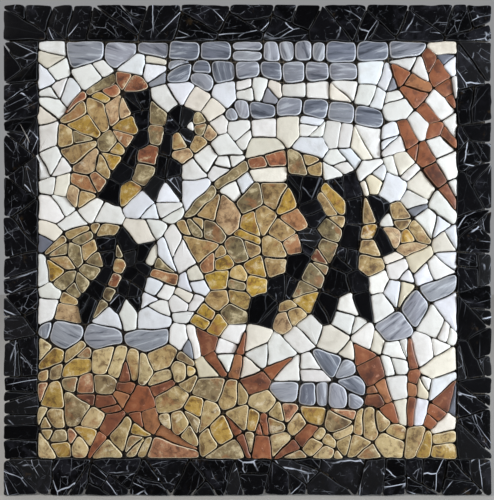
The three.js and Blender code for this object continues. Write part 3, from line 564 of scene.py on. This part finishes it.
@dataclass
class Layout:
    """All outlines of the panel together, which tell how much room there is between them.

    Attributes:
        outlines: the outline of every stone.
        low: lowest corner of the panel.
        high: highest corner of the panel.
        joint: about how wide the joints are once the stones are fitted.
        most: the most that the side of a stone is moved out.
    """

    outlines: list[Outline]
    low: Vector
    high: Vector
    joint: float = 1.4 * MM
    most: float = 2.4 * MM
    walls: BVHTree = field(init=False)

    def __post_init__(self) -> None:
        """Sets an upright wall on every side of every outline."""
        corners, sides = [], []
        for outline in self.outlines:
            first = len(corners)
            for corner in outline:
                corners += [Vector((corner.x, -1.0, corner.z)), Vector((corner.x, 1.0, corner.z))]
            for place in range(len(outline)):
                here, following = first + 2 * place, first + 2 * ((place + 1) % len(outline))
                sides.append((here, following, following + 1, here + 1))
        self.walls = BVHTree.FromPolygons(corners, sides)

    def room(self, place: Vector, outwards: Vector) -> float:
        """Returns how far the side of a stone can be moved out at a place.

        Args:
            place: a point on the stone's outline.
            outwards: the direction away from the stone.

        Returns:
            The distance, which is half of what is free beyond the joint.
        """
        start = Vector((place.x, 0.0, place.z)) + outwards * 0.03 * MM
        distance = self.walls.ray_cast(start, outwards, 9.0 * MM)[3]
        if distance is None:
            return self.edge_room(place)
        joint = self.joint * (1.1 + noise.noise(place * 23.0))
        return min(max((distance - joint) / 2, 0.0), self.most)

    def edge_room(self, place: Vector) -> float:
        """Returns how far a point is from the panel's edge, but for a small chip here and there."""
        room = min(place.x - self.low.x, self.high.x - place.x, place.z - self.low.z, self.high.z - place.z)
        chip = max(0.0, noise.noise(place * 70.0)) * 1.6 * MM
        return min(max(room - chip, 0.0), self.most)


@dataclass
class Stone:
    """One stone of the mosaic, cut from its outline.

    Attributes:
        outline: its corners, in the plane of its face, in order.
        cut: how it is tumbled and set.
        tone: its colour.
        turn: the angle of its grain.
        rng: its source of chance.
        foot: how high above the wall it starts.
        spacing: distance between the points of its outline.
        rings: steps of the worn rim.
    """

    outline: Outline
    cut: Cut
    tone: Colour
    turn: float
    rng: random.Random
    foot: float = 2.4 * MM
    spacing: float = 2.6 * MM
    rings: int = 3
    pattern: float = field(init=False)
    veins: float = field(init=False)

    def __post_init__(self) -> None:
        """Draws the stone's own place in the rock."""
        self.pattern = self.rng.uniform(-9.0, 9.0)
        self.veins = 1.0 if self.rng.random() < self.cut.veins else self.rng.uniform(0.0, 0.35)

    def carve(self, layout: Layout, drift: Drift) -> bmesh.types.BMesh:
        """Returns the finished stone as a closed mesh with its attributes."""
        shape = bmesh.new()
        height = -sum(corner.y for corner in self.outline) / len(self.outline)
        corners = [shape.verts.new((corner.x, -self.foot, corner.z)) for corner in self.outline]
        shape.faces.new(corners)
        self.fit(shape, layout)
        self.tumble(shape, drift)
        shape.normal_update()
        face = shape.faces[:][0]
        if face.normal.y > 0:
            bmesh.ops.reverse_faces(shape, faces=[face])
        # Values that the materials turn into colour: -1 at the foot of the sides for painted shade down in the joints,
        # 0.15 at the top of the sides, 1.0 to 0.3 on the rim for a pale rim that is partly wear and partly a painted
        # highlight, 0 on the face.
        worn_rim_highlight_foot_shade = shape.verts.layers.float.new("stone_worn_rim_highlight_foot_shade")
        for vert in shape.verts:
            vert[worn_rim_highlight_foot_shade] = -1.0
        reach = min(self.cut.rim, 0.32 * self.breadth(face))
        top = self.raise_sides(shape, face, height - self.cut.crown - reach, worn_rim_highlight_foot_shade)
        top = self.round_rim(shape, top, reach, worn_rim_highlight_foot_shade)
        self.crown_face(shape, top, worn_rim_highlight_foot_shade)
        self.lean(shape, height)
        self.mark(shape)
        bmesh.ops.recalc_face_normals(shape, faces=shape.faces[:])
        return shape

    def fit(self, shape: bmesh.types.BMesh, layout: Layout) -> None:
        """Moves the sides out towards the stone's neighbours."""
        for edge in shape.edges[:]:
            cuts = max(1, round(edge.calc_length() / self.spacing) - 1)
            bmesh.ops.subdivide_edges(shape, edges=[edge], cuts=cuts)
        face = shape.faces[:][0]
        middle = face.calc_center_median()
        moved = []
        for loop in face.loops:
            before, following = loop.link_loop_prev.vert.co, loop.link_loop_next.vert.co
            outwards = (following - before).cross(Vector((0.0, 1.0, 0.0))).normalized()
            if outwards.dot(loop.vert.co - middle) < 0:
                outwards.negate()
            moved.append((loop.vert, outwards * layout.room(loop.vert.co, outwards)))
        for vert, step in moved:
            vert.co += step

    def tumble(self, shape: bmesh.types.BMesh, drift: Drift) -> None:
        """Rounds the outline's corners and bends its sides."""
        for _ in range(self.cut.tumbling):
            verts = shape.verts[:]
            bmesh.ops.smooth_vert(shape, verts=verts, factor=0.5, use_axis_x=True, use_axis_y=False, use_axis_z=True)
        for vert in shape.verts:
            own = Vector((self.pattern, 0.0, 0.0))
            nick = noise.noise_vector(vert.co * 80.0 + own) * 0.5 * MM + noise.noise_vector(vert.co * 260.0 + own) * 0.3 * MM
            vert.co = drift.moved(vert.co + Vector((nick.x, 0.0, nick.z)))

    def breadth(self, face: bmesh.types.BMFace) -> float:
        """Returns about how wide the stone is."""
        return 2.0 * face.calc_area() / face.calc_perimeter()

    def raise_sides(self, shape: bmesh.types.BMesh, face: bmesh.types.BMFace, top: float, worn_rim_highlight_foot_shade: object) -> bmesh.types.BMFace:
        """Draws the sides up to the height `top`. Returns the face at their upper end."""
        middle = face.calc_center_median()
        raised = bmesh.ops.extrude_face_region(shape, geom=[face])["geom"]
        verts = [item for item in raised if isinstance(item, bmesh.types.BMVert)]
        bmesh.ops.translate(shape, verts=verts, vec=(0.0, self.foot - top, 0.0))
        for vert in verts:
            vert[worn_rim_highlight_foot_shade] = 0.15
        lower = [vert for vert in shape.verts if vert not in set(verts)]
        bmesh.ops.scale(shape, verts=lower, vec=(0.95, 1.0, 0.95), space=Matrix.Translation(-middle))
        return next(item for item in raised if isinstance(item, bmesh.types.BMFace))

    def round_rim(self, shape: bmesh.types.BMesh, top: bmesh.types.BMFace, reach: float, worn_rim_highlight_foot_shade: object) -> bmesh.types.BMFace:
        """Wears the upper edge round, and marks its steps for the pale rim, which is partly wear and partly a painted
        highlight. Returns the face inside it.
        """
        for ring in range(self.rings):
            start = ring / self.rings * math.pi / 2
            end = (ring + 1) / self.rings * math.pi / 2
            inwards = reach * (math.cos(start) - math.cos(end))
            upwards = reach * (math.sin(end) - math.sin(start))
            bmesh.ops.inset_individual(shape, faces=[top], thickness=inwards, depth=upwards, use_even_offset=True)
            for vert in top.verts:
                vert[worn_rim_highlight_foot_shade] = (1.0, 0.75, 0.3)[ring] if self.rings == 3 else 1.0 - ring / self.rings
        return top

    def crown_face(self, shape: bmesh.types.BMesh, top: bmesh.types.BMFace, worn_rim_highlight_foot_shade: object) -> None:
        """Raises the middle of the face."""
        middle = top.calc_center_median()
        for share, rise in ((0.72, 0.55), (0.5, 0.3)):
            bmesh.ops.inset_individual(shape, faces=[top], thickness=0.0, depth=rise * self.cut.crown)
            bmesh.ops.scale(shape, verts=top.verts[:], vec=(share, 1.0, share), space=Matrix.Translation(-middle))
            for vert in top.verts:
                vert[worn_rim_highlight_foot_shade] = 0.0
        poked = bmesh.ops.poke(shape, faces=[top], offset=0.15 * self.cut.crown)
        for vert in poked["verts"]:
            vert[worn_rim_highlight_foot_shade] = 0.0

    def lean(self, shape: bmesh.types.BMesh, height: float) -> None:
        """Tips the face a little and roughens it, without rising above the stone's height."""
        slope = Vector((self.rng.uniform(-1, 1), self.rng.uniform(-1, 1))) * self.cut.tilt
        middle = sum((vert.co for vert in shape.verts), Vector()) / len(shape.verts)
        shoulder = -self.foot - 2.0 * MM
        for vert in shape.verts:
            if vert.co.y > shoulder:
                continue
            away = vert.co - middle
            dent = noise.noise(vert.co * 110.0 + Vector((self.pattern, 0, 0))) * 0.22 * MM
            vert.co.y += slope.x * away.x + slope.y * away.z + dent
        rise = max(0.0, -height - min(vert.co.y for vert in shape.verts))
        for vert in shape.verts:
            if vert.co.y <= shoulder:
                vert.co.y += rise

    def mark(self, shape: bmesh.types.BMesh) -> None:
        """Writes the stone's colour, grain, veins and place in the rock on all its points."""
        tone = shape.verts.layers.float_color.new("stone_tone")
        turn = shape.verts.layers.float.new("stone_turn")
        seed = shape.verts.layers.float.new("stone_seed")
        vein = shape.verts.layers.float.new("stone_vein")
        for vert in shape.verts:
            vert[tone] = (*self.tone, 1.0)
            vert[turn] = self.turn
            vert[seed] = self.pattern
            vert[vein] = self.veins


@dataclass
class StoneGroup:
    """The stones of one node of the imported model.

    Attributes:
        node: the node's name.
        drift: the bend of all outlines.
        joint: width of the joint where a stone is broken.
        least_share: the least share of a stone that a break leaves on each side.
        pebble: area below which a stone of the water may be grey.
    """

    node: str
    drift: Drift
    joint: float = 2.0 * MM
    least_share: float = 0.18
    pebble: float = 190.0 * MM * MM
    parts: list[Outline] = field(init=False)

    def __post_init__(self) -> None:
        """Finds the node's stones and breaks the large ones."""
        self.area = Area.of(self.node)
        self.rng = random.Random(self.node)
        self.parts = [part for whole in self.outlines() for part in self.broken(whole)]

    def outlines(self) -> list[Outline]:
        """Returns the outline of every stone's face in the node."""
        source = bmesh.new()
        source.from_mesh(bpy.data.objects[self.node].data)
        bmesh.ops.remove_doubles(source, verts=source.verts, dist=1e-6)
        source.normal_update()
        shallow = -6.0 * MM
        others = [face for face in source.faces if face.normal.y > -0.99 or face.calc_center_median().y > shallow]
        bmesh.ops.delete(source, geom=others, context="FACES")
        bmesh.ops.dissolve_limit(source, angle_limit=0.01, verts=source.verts, edges=source.edges)
        found = [[vert.co.copy() for vert in face.verts] for face in source.faces]
        source.free()
        return found

    def broken(self, outline: Outline) -> list[Outline]:
        """Breaks a large stone in two, and again while its parts are large.

        Args:
            outline: the stone's corners.

        Returns:
            The outlines of the parts.
        """
        rng = self.rng
        size = self.size(outline)
        if size < self.area.cut.largest * rng.triangular(0.35, 2.0, 1.0):
            return [outline]
        marks = []
        for place, corner in enumerate(outline):
            following = outline[(place + 1) % len(outline)]
            marks += [corner, corner.lerp(following, rng.uniform(0.35, 0.65))]
        best, best_score = None, math.inf
        for first, start in enumerate(marks):
            for end in marks[first + 2 :]:
                if (end - start).length < 4 * MM:
                    continue
                score = (end - start).length * rng.uniform(0.6, 1.5)
                if score >= best_score:
                    continue
                across = (end - start).cross(Vector((0, 1, 0))).normalized()
                halves = [self.half(outline, start, across * side) for side in (1, -1)]
                if all(half and self.size(half) > self.least_share * size for half in halves):
                    best, best_score = halves, score
        if best is None:
            return [outline]
        return [part for half in best for part in self.broken(half)]

    def half(self, outline: Outline, start: Vector, across: Vector) -> Optional[Outline]:
        """Returns the part of an outline on one side of a break, half a joint away from it."""
        sheet = bmesh.new()
        sheet.faces.new([sheet.verts.new(corner) for corner in outline])
        geometry = [*sheet.verts, *sheet.edges, *sheet.faces]
        place = start + across * self.joint / 2
        bmesh.ops.bisect_plane(sheet, geom=geometry, dist=1e-6, plane_co=place, plane_no=across, clear_inner=True)
        left = [[vert.co.copy() for vert in face.verts] for face in sheet.faces]
        sheet.free()
        return left[0] if left else None

    @staticmethod
    def size(outline: Outline) -> float:
        """Returns the area inside an outline."""
        total = 0.0
        for place, here in enumerate(outline):
            following = outline[(place + 1) % len(outline)]
            total += (here.x * following.z - following.x * here.z) / 2
        return abs(total)

    @staticmethod
    def grain(outline: Outline) -> float:
        """Returns the angle of the outline's longest side."""
        sides = [outline[(place + 1) % len(outline)] - here for place, here in enumerate(outline)]
        longest = max(sides, key=lambda side: side.length)
        return math.atan2(longest.z, longest.x)

    def shades(self) -> list[Colour]:
        """Returns the colour of each stone. Some areas hold a few stones of another colour."""
        tones = [self.area.palette.pick(self.rng) for _ in self.parts]
        low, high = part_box(self.node)
        centre = (low + high) / 2
        places = [sum(part, Vector()) / len(part) for part in self.parts]
        if self.node.endswith("fish_middle"):
            away = [(place - centre).length for place in places]
            tones[away.index(min(away))] = REDS.pick(self.rng)
        for index, part in enumerate(self.parts):
            if self.node == "large_fish_body" and places[index].z < centre.z and self.rng.random() < 0.55:
                tones[index] = GOLDS.pick(self.rng)
            if self.area is Area.WATER and self.size(part) < self.pebble and self.rng.random() < 0.16:
                tones[index] = GREYS.pick(self.rng)
        return tones

    def build(self, layout: Layout, material: bpy.types.Material) -> bpy.types.Object:
        """Cuts the node's stones and joins them in one piece.

        Args:
            layout: where the panel's stones lie.
            material: the stones' finish.

        Returns:
            The piece, which stands for the node.
        """
        group = bmesh.new()
        carrier = bpy.data.meshes.new(self.node + "_carrier")
        for outline, tone in zip(self.parts, self.shades()):
            turn = self.grain(outline) + self.rng.uniform(-0.35, 0.35)
            shape = Stone(outline, self.area.cut, tone, turn, self.rng).carve(layout, self.drift)
            shape.to_mesh(carrier)
            shape.free()
            group.from_mesh(carrier)
        for face in group.faces:
            face.smooth = True
        mesh = bpy.data.meshes.new(self.node + "_stones")
        group.to_mesh(mesh)
        group.free()
        bpy.data.meshes.remove(carrier)
        mesh.materials.append(material)
        piece = bpy.data.objects.new(self.node + "_stones", mesh)
        bpy.context.collection.objects.link(piece)
        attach(piece, "root")
        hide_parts(self.node)
        return piece


# ----------------------------------------------------------------------------------------------------
# Backing
# ----------------------------------------------------------------------------------------------------
@dataclass
class Backing:
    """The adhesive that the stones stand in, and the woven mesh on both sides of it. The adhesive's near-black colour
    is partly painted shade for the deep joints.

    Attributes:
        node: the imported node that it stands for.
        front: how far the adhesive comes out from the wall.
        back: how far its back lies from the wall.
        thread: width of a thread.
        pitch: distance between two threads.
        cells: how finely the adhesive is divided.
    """

    node: str = "backing_mesh"
    front: float = 4.1 * MM
    back: float = 0.5 * MM
    thread: float = 0.8 * MM
    pitch: float = 5.0 * MM
    cells: int = 120

    def build(self, adhesive_painted_shade: bpy.types.Material, fibre: bpy.types.Material) -> list[bpy.types.Object]:
        """Makes the adhesive and the mesh.

        Args:
            adhesive_painted_shade: the finish of the adhesive, near black partly as painted shade in the joints.
            fibre: the finish of the threads.

        Returns:
            The two pieces.
        """
        low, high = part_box(self.node)
        return [self.layer(low, high, adhesive_painted_shade), self.weave(low, high, fibre)]

    def layer(self, low: Vector, high: Vector, finish: bpy.types.Material) -> bpy.types.Object:
        """Makes the lumpy layer of adhesive, its near-black colour partly painted shade for the joints."""
        sheet = bmesh.new()
        bmesh.ops.create_grid(sheet, x_segments=self.cells, y_segments=self.cells, size=0.5)
        width, height = high.x - low.x, high.z - low.z
        bmesh.ops.scale(sheet, verts=sheet.verts, vec=(width - MM, height - MM, 1.0))
        bmesh.ops.rotate(sheet, verts=sheet.verts, matrix=Matrix.Rotation(math.radians(90), 3, "X"))
        bmesh.ops.translate(sheet, verts=sheet.verts, vec=((low.x + high.x) / 2, -self.back, (low.z + high.z) / 2))
        raised = bmesh.ops.extrude_face_region(sheet, geom=sheet.faces[:])["geom"]
        verts = [item for item in raised if isinstance(item, bmesh.types.BMVert)]
        bmesh.ops.translate(sheet, verts=verts, vec=(0.0, self.back - self.front, 0.0))
        for vert in verts:
            vert.co.y -= 0.5 * MM * noise.noise(vert.co * 160.0)
        bmesh.ops.recalc_face_normals(sheet, faces=sheet.faces[:])
        piece = self.piece(sheet, "glue_painted_shade_layer", finish)
        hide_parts(self.node)
        return piece

    def weave(self, low: Vector, high: Vector, finish: bpy.types.Material) -> bpy.types.Object:
        """Makes the threads: one net behind the adhesive, and one just under its front."""
        net = bmesh.new()
        for depth in (0.25 * MM, self.front + 0.05 * MM):
            for upright in (True, False):
                self.threads(net, low, high, depth + (0.1 * MM if upright else -0.1 * MM), upright)
        return self.piece(net, "fibre_mesh", finish)

    def threads(self, net: bmesh.types.BMesh, low: Vector, high: Vector, depth: float, upright: bool) -> None:
        """Adds the threads of one direction."""
        reach = (high.x - low.x) if upright else (high.z - low.z)
        length = ((high.z - low.z) if upright else (high.x - low.x)) - 2 * MM
        count = int(reach / self.pitch)
        for index in range(count):
            place = (index - (count - 1) / 2) * self.pitch
            made = bmesh.ops.create_cube(net, size=1.0)["verts"]
            size = (self.thread, 0.28 * MM, length) if upright else (length, 0.28 * MM, self.thread)
            bmesh.ops.scale(net, verts=made, vec=size)
            at = (place, -depth, 0.0) if upright else (0.0, -depth, place)
            bmesh.ops.translate(net, verts=made, vec=at)

    def piece(self, shape: bmesh.types.BMesh, name: str, finish: bpy.types.Material) -> bpy.types.Object:
        """Returns a named piece made of a finished shape."""
        mesh = bpy.data.meshes.new(name)
        shape.to_mesh(mesh)
        shape.free()
        mesh.materials.append(finish)
        made = bpy.data.objects.new(name, mesh)
        bpy.context.collection.objects.link(made)
        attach(made, "root")
        return made


# ----------------------------------------------------------------------------------------------------
# Studio
# ----------------------------------------------------------------------------------------------------
@dataclass
class Studio:
    """Floor, lights and camera.

    Attributes:
        distance: from the camera to the picture.
        aside: how far the camera stands to the right of the panel's middle.
        view_height: how much of the upright plane of the picture the camera takes in.
    """

    distance: float = 0.9
    aside: float = -0.06
    view_height: float = 0.622
    sensor: float = 36.0

    def build(self) -> None:
        """Makes the floor, the lights and the camera."""
        low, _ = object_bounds()
        self.floor(low.z - 0.001)
        self.area_light("key", (2.0, -0.9, -0.02), 0.5, 57.0, (0.86, 0.93, 1.0))
        self.area_light("fill", (-1.4, -1.2, 1.3), 1.4, 19.0, (1.0, 0.97, 0.93))
        world = bpy.data.worlds.new("studio")
        world.use_nodes = True
        world.node_tree.nodes["Background"].inputs["Color"].default_value = (0.97, 0.98, 1.0, 1)
        world.node_tree.nodes["Background"].inputs["Strength"].default_value = 0.3
        bpy.context.scene.world = world
        bpy.context.scene.view_settings.view_transform = "Standard"
        self.camera()

    def floor(self, height: float) -> None:
        """Makes the floor just below the panel."""
        plane = bmesh.new()
        bmesh.ops.create_grid(plane, x_segments=1, y_segments=1, size=4.0)
        bmesh.ops.translate(plane, verts=plane.verts, vec=(0.0, 0.0, height))
        mesh = bpy.data.meshes.new("floor")
        plane.to_mesh(mesh)
        plane.free()
        mesh.materials.append(StudioFloor().make())
        floor = bpy.data.objects.new("floor", mesh)
        bpy.context.collection.objects.link(floor)
        floor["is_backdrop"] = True

    def area_light(self, name: str, place: Sequence[float], size: float, power: float, colour: Colour) -> None:
        """Makes one square light that faces the middle of the panel."""
        data = bpy.data.lights.new(name, "AREA")
        data.size = size
        data.energy = power
        data.color = colour
        light = bpy.data.objects.new(name, data)
        light.location = place
        light.rotation_euler = (-Vector(place)).to_track_quat("-Z", "Y").to_euler()
        bpy.context.collection.objects.link(light)

    def camera(self) -> None:
        """Makes the camera, square in front of the panel."""
        data = bpy.data.cameras.new("camera")
        data.sensor_width = self.sensor
        data.lens = self.sensor * self.distance / self.view_height
        data.shift_x = -self.aside / self.view_height
        camera = bpy.data.objects.new("camera", data)
        camera.location = (self.aside, -self.distance, 0.0)
        camera.rotation_euler = (math.radians(90), 0.0, 0.0)
        bpy.context.collection.objects.link(camera)
        bpy.context.scene.camera = camera


def main() -> None:
    """Builds the panel and the studio."""
    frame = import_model()
    low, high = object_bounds()
    finishes = {
        Rock.BLACK: BlackMarble().make(),
        Rock.WHITE: WhiteMarble().make(),
        Rock.GREY: GreyMarble().make(),
        Rock.TAN: TanStone().make(),
        Rock.RED: RedMarble().make(),
    }
    drift = Drift(low, high)
    groups = [StoneGroup(node, drift) for node in sorted(frame["nodes"]) if node != "backing_mesh"]
    layout = Layout([part for group in groups for part in group.parts], low, high)
    for group in groups:
        piece = group.build(layout, finishes[group.area.rock])
        log.info("%s: %d stones, %d faces", piece.name, len(group.parts), len(piece.data.polygons))
    log.info("%d stones in all", len(layout.outlines))
    for piece in Backing().build(AdhesiveWithPaintedShade().make(), GlassFibre().make()):
        log.info("%s: %d faces", piece.name, len(piece.data.polygons))
    Studio().build()


if __name__ == "__main__":
    main()
